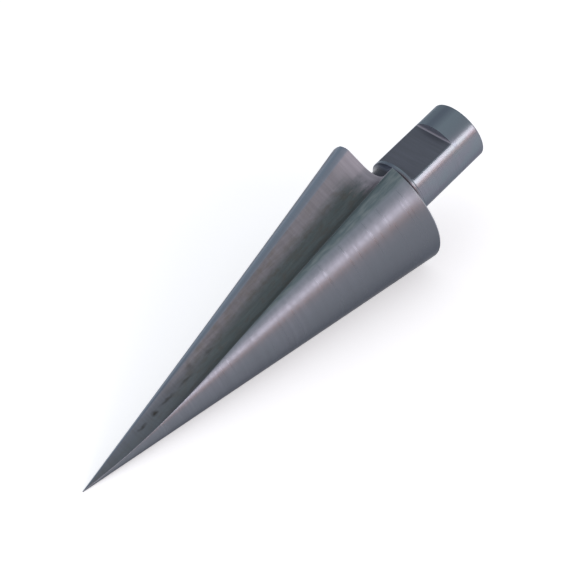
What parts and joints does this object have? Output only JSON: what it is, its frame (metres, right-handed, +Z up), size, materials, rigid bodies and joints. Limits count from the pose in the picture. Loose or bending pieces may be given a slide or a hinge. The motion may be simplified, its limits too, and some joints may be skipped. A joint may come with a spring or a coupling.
{
  "type": "taper reamer",
  "caption": "Sharp-pointed conical cutter with one straight flute and a short round shank with a milled flat, lying on its side.",
  "frame": {"origin": "on the floor that the tool lies on, under the middle of its bounding box", "axes": "+X along the line the tool rests on, from the point to the shank; +Z up, with the flute on top"},
  "size_m": [0.0724, 0.02, 0.0185],
  "materials": {
    "tool_steel": "ground tool steel, satin, with fine rings from the grinding"
  },
  "bodies": {
    "root": {"taper_reamer": "tool_steel"}
  },
  "joints": []
}
